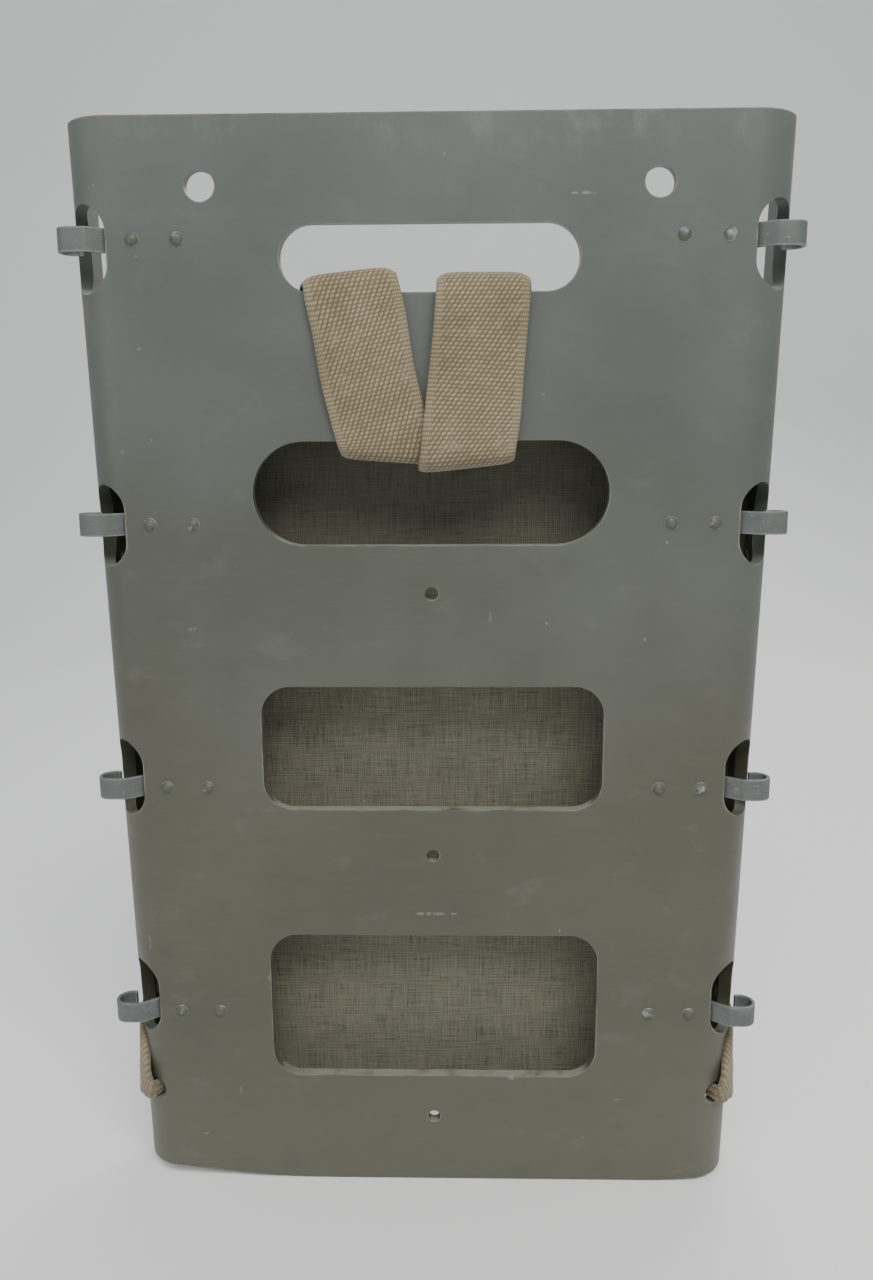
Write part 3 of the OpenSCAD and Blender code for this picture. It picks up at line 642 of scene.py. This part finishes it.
# Front loops, from the bridge's back round its front to the top of the canvas. Each row is the
# strip's inner and outer edge, x and z, then its depth and how far its corners turn over.
LOOPS = {
    "left": [
        (29, 523.5, 81, 523.5, 51, 0), (28, 530, 79.8, 528, 45, 0.4), (26, 533.5, 77.6, 531, 36, 0.8),
        (22, 540, 73.2, 536, 20, 1.2), (19.5, 545.3, 70.6, 540, 9, 2.6), (18, 546, 69, 540.7, 3, 3.2),
        (16.6, 542, 67.9, 536.6, -1.6, 1.6), (14.6, 534, 66.6, 528, -2.6, 0.3),
        (12.1, 522.8, 63.3, 512.3, -2.6, 0), (8.3, 497.5, 59.4, 487, -2.5, 0),
        (4, 478.7, 55, 468.2, -2.4, 0), (0.2, 461, 51.6, 455, -2.2, 0.3),
        (-2.6, 447.6, 50, 449.6, 0, 1.2), (-3.5, 443.6, 49.4, 447.2, 5.5, 1.4),
        (-5.5, 448, 47.6, 451, 10.6, 0.6), (-9.5, 457, 43.5, 461.2, 12, 0),
        (-15.2, 470.4, 37.7, 474.8, 12.2, 0), (-29.2, 503.4, 23.7, 507.9, 12.4, 0),
    ],
    "right": [
        (7, 523.5, 59, 523.5, 51, 0), (6.7, 529, 58.4, 529, 45, 0.4), (6, 532, 57.4, 532, 36, 0.8),
        (5, 537.6, 56, 537.4, 20, 1.2), (4, 542, 54.8, 541.7, 9, 2.4), (3.4, 542.3, 54.2, 541.9, 2, 3.0),
        (3.2, 537.5, 54, 537.2, -3.6, 1.6), (2.7, 527, 53.6, 527, -5.8, 0.3),
        (1.2, 510, 52, 508, -6.4, 0), (-0.9, 492, 50.6, 489, -6.6, 0),
        (-3.4, 470, 49.2, 468, -6.6, 0), (-5.8, 449.6, 47, 452, -6.2, 0.3),
        (-6.8, 441.5, 46.4, 446, -2.6, 1.2), (-7.1, 438.9, 46.2, 444.6, 5, 1.4),
        (-8.6, 443, 44.8, 448.5, 13.6, 0.6), (-11.5, 452, 42, 457.7, 16, 0),
        (-15.9, 467.5, 37.4, 473.2, 16.2, 0), (-26.4, 501.9, 26.9, 507.6, 16.4, 0),
    ],
}


def edge_row(x0, z0, x1, z1, depth, cup):
    across = np.array([x1 - x0, 0.0, z1 - z0])
    width = np.linalg.norm(across)
    return [(x0 + x1) / 2, depth, (z0 + z1) / 2, *(across / width), width, WEB_T, 1, cup]


def shoulder_rows(side):
    """The upper strap from behind the canvas's top edge to the straight above the buckle."""
    x = STRAP_TOP_X[side]
    foot = on_strap(150)
    return [
        [x + 4, 66, 500, 1, 0, 0, WEB_W, WEB_T],
        [x + 11, 90, 474, 1, 0, 0, WEB_W, WEB_T],
        [lerp(x + 11, foot[0], 0.32), 114, 431, 1, 0, 0, WEB_W, WEB_T],
        [lerp(x + 11, foot[0], 0.66), 123, 378, 1, 0, 0.1, WEB_W, WEB_T],
        straight(150), straight(125), straight(90),
    ]


# Round the buckle's bar: the bar's place along the strap, the turn's reach beyond it, how far the
# web stands off the strap's middle there, and how far where it is doubled
BAR_L, BAR_TURN, BAR_OUT, LAP = 22.6, 2.4, 2.6, 1.42


def upper_rows(side):
    """One piece of webbing: front loop, upper strap, round the buckle's bar and back up. Past the
    turn its rows face the other way, but their width keeps its side."""
    rows = [edge_row(*r) for r in LOOPS[side]][::-1] + shoulder_rows(side)
    rows += [straight(66), straight(54, 0.5), straight(46, LAP), straight(36, LAP), straight(28, BAR_OUT)]
    for a in (math.radians(angle) for angle in (90, 55, 20, -20, -55, -90)):
        rows.append(straight(BAR_L - BAR_TURN * math.cos(a), BAR_OUT * math.sin(a)))
    rows += [straight(28, -BAR_OUT), straight(36, -LAP), straight(52, -LAP)]
    return rows


ANCHOR_Z = 59.3


def lower_rows():
    """One piece of webbing: gathered end inside the flange, out through its hole, round the
    flange and up through the buckle to the free end."""
    h = half_w(ANCHOR_Z)
    return [
        [h - 20.6, 18.2, ANCHOR_Z, 0, 0, 1, 11, 3.4],
        [h - 17.9, 14.3, ANCHOR_Z, 0, 0, 1, 9, 3.6],
        [h - 14.7, 9.5, ANCHOR_Z, 0, 0, 1, 9, 3.6],
        [h - 11, 4, 59.5, 0, 0, 1, 10, 3.6],
        [h - 8.6, 0.8, 60, 0, 0, 1, 12, 3.4],
        [h - 5.3, 2.5, 61.5, 0, 0, 1, 18, 3.1, 0, -1],
        [h - 2.1, 7.4, 65, -0.2, -0.15, 1, 30, 2.9, 1, -1.8],
        [h + 1, 14.4, 70, -0.12, -0.25, 1, 44, WEB_T, 1, -2.4],
        [h + 2, 25, 75, -0.04, -0.35, 1, 51, WEB_T, 1, -1.5],
        [h + 3.4, 36, 76.5, -0.03, -0.3, 1, 53, WEB_T, 1],
        [h + 3.5, 43.5, 77, -0.02, -0.2, 1, 53, WEB_T, 1],
        [188.5, 55, 77, 0.02, -0.08, 1, WEB_W, WEB_T, 1],
        [187.5, 65, 81, -0.1, -0.1, 1, WEB_W, WEB_T],
        [184, 83, 92, -0.1, -0.5, 0.9, WEB_W, WEB_T],
        [180, 98, 112, 0.6, -0.6, 0.5, WEB_W, WEB_T],
        straight(-40, 2.6), straight(-20, 2.6), straight(0, 2.6), straight(6, 3), straight(13, 5.4),
        straight(20, TAIL_OUT), straight(34, TAIL_OUT), straight(60, TAIL_OUT),
        straight(TAIL_L, TAIL_OUT),
    ]


def gathers(a, t):
    """Pleats of the web where it is drawn together at the anchor hole."""
    tight = max(0.0, 1 - t / 0.42)
    return 0.9 * tight ** 1.5 * math.sin(a * 6.2 + 5 * t) + 0.25 * tight * math.sin(a * 15 + 1.3)


# ---------- stitches ----------


def stitches(name, lines, body, length=2.7, gap=1.1, thick=0.42):
    """Thread laid as short raised stitches. Each line is a list of (point, normal) in scene metres."""
    verts, faces = [], []
    for line in lines:
        pts = [np.array(p) for p, _ in line]
        normals = [np.array(n) for _, n in line]
        lengths = np.concatenate([[0], np.cumsum([np.linalg.norm(b - a) for a, b in zip(pts, pts[1:])])])

        def sample(d):
            i = min(int(np.searchsorted(lengths, d, side="right")) - 1, len(pts) - 2)
            t = (d - lengths[i]) / max(lengths[i + 1] - lengths[i], 1e-9)
            return lerp(pts[i], pts[i + 1], t), unit(lerp(normals[i], normals[i + 1], t))

        d = gap * MM
        while d + length * MM < lengths[-1]:
            start = len(verts)
            for k, (f, r, lift) in enumerate(
                ((0.0, 0.25, -0.1), (0.15, 0.8, 0.1), (0.5, 1.0, 0.22), (0.85, 0.8, 0.1), (1.0, 0.25, -0.1))
            ):
                p, n = sample(d + f * length * MM)
                q, _ = sample(d + min(f + 0.05, 1.0) * length * MM + 1e-6)
                along = unit(q - p) if np.linalg.norm(q - p) > 1e-9 else along
                side_v = unit(np.cross(along, n))
                for j in range(6):
                    ang = math.pi / 3 * j
                    ring = side_v * math.cos(ang) * r * thick + n * (math.sin(ang) * r * thick * 0.8 + lift)
                    verts.append(p + ring * MM)
                if k:
                    for j in range(6):
                        a, b = start + 6 * (k - 1) + j, start + 6 * (k - 1) + (j + 1) % 6
                        faces.append((a, b, b + 6, a + 6))
            faces.append(tuple(range(start + 5, start - 1, -1)))
            faces.append(tuple(range(start + 24, start + 30)))
            d += (length + gap) * MM
    piece = new_object(name, verts, faces, thread)
    if body:
        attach(piece, body)
    return piece


def scene_dir(v, s):
    """A direction written for the right side, on side s."""
    return np.array([s * v[0], v[1], v[2]])


def scene_point(p, s):
    q = to_scene([p])[0]
    return np.array([s * q[0], q[1], q[2]])


# ---------- the straps ----------

for side, s in SIDES.items():
    body = f"{side}_strap"
    rows = mirrored(strip(upper_rows(side)), s)
    strap = ribbon(f"upper_strap_{side}", rows, webbing, steps=6, cloth_w=52.5)
    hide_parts(f"strap_loop_{side}", f"shoulder_strap_{side}")
    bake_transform(strap)

    rows = mirrored(strip(lower_rows()), s)
    web = ribbon(f"lower_web_{side}", rows, webbing, steps=6, cells=36, ripple=gathers, cloth_w=52)
    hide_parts(f"adjusting_web_{side}", f"anchor_web_{side}")
    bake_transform(web)

    # Box and cross sewn through the doubled end
    lines = []
    half, low, high = WEB_W / 2 - 5, 30, 49
    box = [(-half, low), (half, low), (half, high), (-half, high), (-half, low), (half, high)]
    path = list(zip(box, box[1:])) + [((-half, high), (half, low))]
    for (a0, l0), (a1, l1) in path:
        for o, facing in ((WEB_T + 0.15, 1), (-WEB_T - 0.15, -1)):
            if facing > 0 and l0 == l1 == low:
                continue
            ends = [scene_point(on_strap(l, o, a), s) for a, l in ((a0, l0), (a1, l1))]
            lines.append([(p, scene_dir(OUT * facing, s)) for p in ends])
    stitches(f"strap_stitches_{side}", lines, body)

    # Keeper: a sewn band with its ends lapped
    in_x = WEB_W / 2 + 1.4
    low, high, r = -WEB_T / 2 - 1.5, TAIL_OUT + WEB_T / 2 + 1.5, 2.2
    corner = [(1, 1, 0), (1, -1, 270), (-1, -1, 180), (-1, 1, 90)]
    ring = [(8.0, high + 0.1, (0, 1))]
    for cx, cy, start in corner:
        centre = (cx * (in_x - r), (high - r) if cy > 0 else (low + r))
        for k in range(4):
            ang = math.radians(start + 90 - 30 * k)
            ring.append((centre[0] + r * math.cos(ang), centre[1] + r * math.sin(ang), None))
    ring.append((-4.0, high + 0.3, None))
    ring.append((2.0, high + 1.6, None))
    ring.append((14.0, high + 1.9, None))
    mid = KEEPER_Z + KEEPER_L / 2
    rows = [[*on_strap(mid, o, a), *STRAP_DIR, KEEPER_L, 1.7] for a, o, _ in ring]
    keeper = ribbon(f"keeper_band_{side}", mirrored(strip(rows), s), webbing, steps=3, cells=10)
    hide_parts(f"web_keeper_{side}")
    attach(keeper, f"{side}_keeper")
    lines = []
    for a in (4.5, 11.5):
        ends = [scene_point(on_strap(l, high + 2.75, a), s) for l in (mid - 6, mid + 6)]
        lines.append([(p, scene_dir(OUT, s)) for p in ends])
    stitches(f"keeper_stitches_{side}", lines, f"{side}_keeper")

# ---------- canvas panel ----------

CANVAS_Z = (32.0, 522.0)
CANVAS_T = 0.9
CANVAS_GAP = 0.3
CANVAS_BACK = FLANGE_D + CANVAS_GAP + CANVAS_T / 2
CANVAS_BEND = 2.4
HEM_FRONT = FLANGE_D - 12
RIVETS_Z = [CANVAS_Z[0] + 22 + k * (CANVAS_Z[1] - CANVAS_Z[0] - 44) / 8 for k in range(9)]


def canvas_out(z):
    """How far out the hem lies against the flange's outside."""
    return half_w(z) + CANVAS_GAP + CANVAS_T / 2


def canvas_give(x, z):
    """Depth that the stretched cloth gives by: pulled flat at its rivets, slack between them."""
    hw = canvas_out(z)
    edge = max(0.0, 1 - abs(x) / hw)
    inner = min(1.0, edge / 0.12)
    wave = 0.55 * math.sin(x / 41 + 0.6) * math.sin(z / 57 + 1.1) + 0.35 * math.sin(x / 23 + z / 31)
    pull = 0.5 * math.cos(2 * math.pi * (z - RIVETS_Z[0]) / (RIVETS_Z[1] - RIVETS_Z[0])) * math.exp(-edge * 9)
    return inner * (0.55 + wave * 0.8) * 0.9 - pull * inner


def canvas_path(z):
    """Points across the panel at height z: hem, bend round the flange's edge, flat, and back."""
    out, back, r = canvas_out(z), CANVAS_BACK, CANVAS_BEND
    right = [(out, d) for d in np.linspace(HEM_FRONT, back - r, 7)]
    right += [(out - r + r * math.cos(a), back - r + r * math.sin(a)) for a in np.linspace(0.2, 1.37, 4)]
    flat_x = np.linspace(out - r, -(out - r), 75)
    pts = right + [(x, back + canvas_give(x, z)) for x in flat_x]
    return pts + [(-x, d) for x, d in right[::-1]]


def cloth(name, z_list, path, material, thick=CANVAS_T):
    """An open sheet over paths at the given heights, made solid, with its weave in metres."""
    verts, faces, uvs = [], [], []
    for i, z in enumerate(z_list):
        pts = path(z)
        n = len(pts)
        verts += [at(x, d, z) for x, d in pts]
        us = np.concatenate([[0], np.cumsum([math.dist(a, b) for a, b in zip(pts, pts[1:])])])
        us -= us[-1] / 2
        if i:
            for k in range(n - 1):
                a = (i - 1) * n + k
                faces.append((a, a + 1, a + 1 + n, a + n))
                zs = (z_list[i - 1], z_list[i - 1], z, z)
                uu = (last[k], last[k + 1], us[k + 1], us[k])
                uvs += [(u * MM, v * MM) for u, v in zip(uu, zs)]
        last = us
    piece = new_object(name, verts, faces, material, uvs)
    m = piece.modifiers.new("thickness", "SOLIDIFY")
    m.thickness = thick * MM
    m.offset = 0
    return piece


panel = cloth("canvas_sheet", list(np.linspace(*CANVAS_Z, 99)), canvas_path, duck)
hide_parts("canvas_panel")
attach(panel, "root")

HEM = 24.0
SEAM_IN = 3
hems, lines = [], []
for name, low in (("lower", CANVAS_Z[0]), ("upper", CANVAS_Z[1] - HEM)):
    def hem_path(z, low=low):
        puff = 0.35 * math.sin(math.pi * min(max((z - low) / HEM, 0), 1))
        hw = canvas_out(z) - 6
        back = CANVAS_BACK + CANVAS_T + 0.12 + puff
        return [(x, back + canvas_give(x, z)) for x in np.linspace(hw, -hw, 75)]

    hem = cloth(f"canvas_hem_{name}", list(np.linspace(low, low + HEM, 9)), hem_path, duck)
    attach(hem, "root")
    hems.append(hem)
    for z in (low + SEAM_IN, low + HEM - SEAM_IN):
        path = hem_path(z)[::2]
        lines.append([(at(x, d + CANVAS_T / 2 + 0.05, z), (0, 1, 0)) for x, d in path])
# Seam that folds the side hem's raw edge under, on the flange's outside
for s in SIDES.values():
    zs = np.linspace(CANVAS_Z[0] + SEAM_IN, CANVAS_Z[1] - SEAM_IN, 60)
    xs = [s * (canvas_out(z) + CANVAS_T / 2 + 0.05) for z in zs]
    lines.append([(at(x, HEM_FRONT + 2.6, z), (s, 0, 0)) for x, z in zip(xs, zs)])
seam = stitches("canvas_stitches", lines, "root", length=3.0, gap=1.0)

# ---------- shoulder pads ----------

PAD_W, PAD_T, PAD_GAP, PAD_L = 62.0, 8.0, 1.5, 182.0
PAD_HALF = PAD_W / 2 - 1.5
PAD_ROWS = (3, 21)
# How far in from its edge the pad's rim is held while it is filled, and its half thickness there
RIM_IN, RIM_H = 6.5, 1.3
PAD_SWELL = 2.6


def pad_frames(side, s):
    """Middle, along, across and outward normal at each row of the pad, in scene metres."""
    fine = catmull(mirrored(strip(shoulder_rows(side) + [straight(44)]), s), 5)
    part = frames(fine)[PAD_ROWS[0]:PAD_ROWS[1] + 1]
    out = []
    for place, along, w, n in part:
        out.append((to_scene([place])[0], along, w, n))
    return out


def between(rows, t):
    """Row at t from 0 to 1 along the pad."""
    x = min(max(t, 0.0), 1.0) * (len(rows) - 1)
    i = min(int(x), len(rows) - 2)
    f = x - i
    place, along, w, n = (lerp(a, b, f) for a, b in zip(rows[i], rows[i + 1]))
    return place, unit(along), unit(w), unit(n)


def pad_half_width(t):
    """Half width: full in the middle, round at the ends."""
    e = min(t, 1 - t) * PAD_L / 26
    return PAD_HALF if e >= 1 else PAD_HALF * (1 - 0.62 * (1 - e) ** 2.4)


def pad_inset(t, across):
    """How far in from the pad's edge a place is, in millimetres."""
    return min(pad_half_width(t) - abs(across), t * PAD_L, (1 - t) * PAD_L)


def pad_point(rows, t, a, o):
    """a from -1 to 1 across, o mm from the pad's middle, positive towards the wearer's shoulder."""
    place, _, w, n = between(rows, t)
    off = WEB_T / 2 + PAD_GAP + PAD_T / 2
    return place + (w * a * pad_half_width(t) + n * (off + o)) * MM


def pad_shell(name, rows, puff):
    """Closed pad with a thin rim, before it is filled out."""
    nt, na = 44, 18
    ts = np.linspace(0.0, 1.0, nt + 1)
    verts, faces = [], []
    for sgn in (1, -1):
        for t in ts:
            for a in np.linspace(-1, 1, na + 1):
                rise = min(1.0, pad_inset(t, a * pad_half_width(t)) / 9.0)
                h = RIM_H + (puff - RIM_H) * math.sin(rise * math.pi / 2)
                verts.append(pad_point(rows, t, a, sgn * h * (1.0 if sgn > 0 else 0.85)))
    n = na + 1
    size = n * (nt + 1)
    for i in range(nt):
        for k in range(na):
            a = i * n + k
            faces.append((a, a + 1, a + 1 + n, a + n))
            faces.append((a + size + n, a + 1 + n + size, a + 1 + size, a + size))
    rim = list(range(n)) + [i * n + na for i in range(1, nt + 1)]
    rim += [nt * n + k for k in range(na - 1, -1, -1)] + [i * n for i in range(nt - 1, 0, -1)]
    for a, b in zip(rim, rim[1:] + rim[:1]):
        faces.append((b, a, a + size, b + size))
    return new_object(name, verts, faces, pad_duck)


def filled(obj, held, cap, voxel=5 * MM, steps=20, pressure=4.0):
    """Remeshes a closed shell, swells it as a filled cloth and caps how far a point may move.
    held(point) is true where the shell stays put."""
    m = obj.modifiers.new("even", "REMESH")
    m.mode = "VOXEL"
    m.voxel_size = voxel
    graph = bpy.context.evaluated_depsgraph_get()
    mesh = bpy.data.meshes.new_from_object(obj.evaluated_get(graph))
    obj.modifiers.clear()
    old = obj.data
    obj.data = mesh
    bpy.data.meshes.remove(old)
    start = np.array([v.co for v in mesh.vertices])
    group = obj.vertex_groups.new(name="rim")
    group.add([i for i, v in enumerate(start) if held(v)], 1.0, "REPLACE")
    c = obj.modifiers.new("fill", "CLOTH")
    c.settings.quality = 6
    c.settings.mass = 0.3
    c.settings.use_pressure = True
    c.settings.uniform_pressure_force = pressure
    c.settings.vertex_group_mass = "rim"
    c.settings.effector_weights.gravity = 0
    c.point_cache.frame_start, c.point_cache.frame_end = 1, steps
    for f in range(1, steps + 1):
        bpy.context.scene.frame_set(f)
    graph = bpy.context.evaluated_depsgraph_get()
    swollen = obj.evaluated_get(graph).to_mesh()
    end = np.array([v.co for v in swollen.vertices])
    obj.modifiers.clear()
    obj.vertex_groups.clear()
    move = end - start
    length = np.linalg.norm(move, axis=1, keepdims=True)
    limit = np.minimum(1.0, cap / np.maximum(length, 1e-9))
    mesh.vertices.foreach_set("co", (start + move * limit).astype(np.float32).ravel())
    bpy.context.scene.frame_set(1)
    mesh.polygons.foreach_set("use_smooth", [True] * len(mesh.polygons))
    mesh.update()


def pad_coordinates(points, rows):
    """(t along, mm across) of scene points, from the nearest row."""
    fine = [between(rows, t) for t in np.linspace(0, 1, 181)]
    places = np.array([f[0] for f in fine])
    ws = np.array([f[2] for f in fine])
    near = np.argmin(((points[:, None, :] - places[None]) ** 2).sum(2), axis=1)
    across = ((points - places[near]) * ws[near]).sum(1)
    return near / 180, across / MM


for side, s in SIDES.items():
    body = f"{side}_strap"
    rows = pad_frames(side, s)
    pad = pad_shell(f"shoulder_pad_body_{side}", rows, PAD_T / 2 - 0.7)

    def on_rim(v):
        t, across = pad_coordinates(np.array([v]), rows)
        return pad_inset(t[0], across[0]) < RIM_IN

    filled(pad, on_rim, PAD_SWELL * MM)
    mesh = pad.data
    pts = np.array([v.co for v in mesh.vertices])
    t, across = pad_coordinates(pts, rows)
    layer = mesh.uv_layers.new(name="weave")
    index = np.empty(len(mesh.loops), int)
    mesh.loops.foreach_get("vertex_index", index)
    uv = np.stack([across[index], t[index] * PAD_L], 1) * MM
    layer.data.foreach_set("uv", uv.astype(np.float32).ravel())
    m = pad.modifiers.new("smooth", "SUBSURF")
    m.levels = m.render_levels = 1
    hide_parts(f"shoulder_pad_{side}")
    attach(pad, body)

    # Tape folded over the rim, with one row of stitches on each face
    outline = [(0.0, a) for a in np.linspace(-1, 1, 15)[:-1]]
    outline += [(t, 1.0) for t in np.linspace(0, 1, 60)[:-1]]
    outline += [(1.0, a) for a in np.linspace(1, -1, 15)[:-1]]
    outline += [(t, -1.0) for t in np.linspace(1, 0, 60)]
    rim = np.array([pad_point(rows, t, a, 0) for t, a in outline[:-1]])
    rim = np.vstack([rim] * 3)
    for _ in range(3):
        rim[1:-1] = (rim[:-2] + 2 * rim[1:-1] + rim[2:]) / 4
    count = len(outline) - 1
    rim = rim[count:2 * count + 1]
    rings, lines, uv_rings, v = [], [[], []], [], 0.0
    for i, (p, (t, a)) in enumerate(zip(rim, outline)):
        along = unit(rim[(i + 1) % count] - rim[(i - 1) % count])
        n = between(rows, t)[3]
        out_dir = unit(np.cross(along, n))
        centre = rim.mean(0)
        if np.dot(out_dir, p - centre) < 0:
            out_dir = -out_dir
        ring = []
        section = [(-6.5, 2.75), (-3, 2.6), (0.3, 2.2), (1.7, 1.2), (2.1, 0)]
        section += [(x, -y) for x, y in section[-2::-1]]
        inner = [(x - 0.05, y * 0.72) for x, y in section[::-1]]
        for x, y in section + inner:
            ring.append(p + (out_dir * x + n * y) * MM)
        rings.append(ring)
        v += 0 if i == 0 else np.linalg.norm(p - rim[i - 1])
        uv_rings.append([(j * 1.6 * MM, v) for j in range(len(ring) + 1)])
        for k, sgn in enumerate((1, -1)):
            lines[k].append((p + (out_dir * -4.6 + n * sgn * 2.85) * MM, n * sgn))
    tape = loft(f"pad_binding_{side}", rings, tape_cloth, uv_rings, closed=False)
    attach(tape, body)
    stitches(f"pad_stitches_{side}", lines, body, length=2.6, gap=1.2)
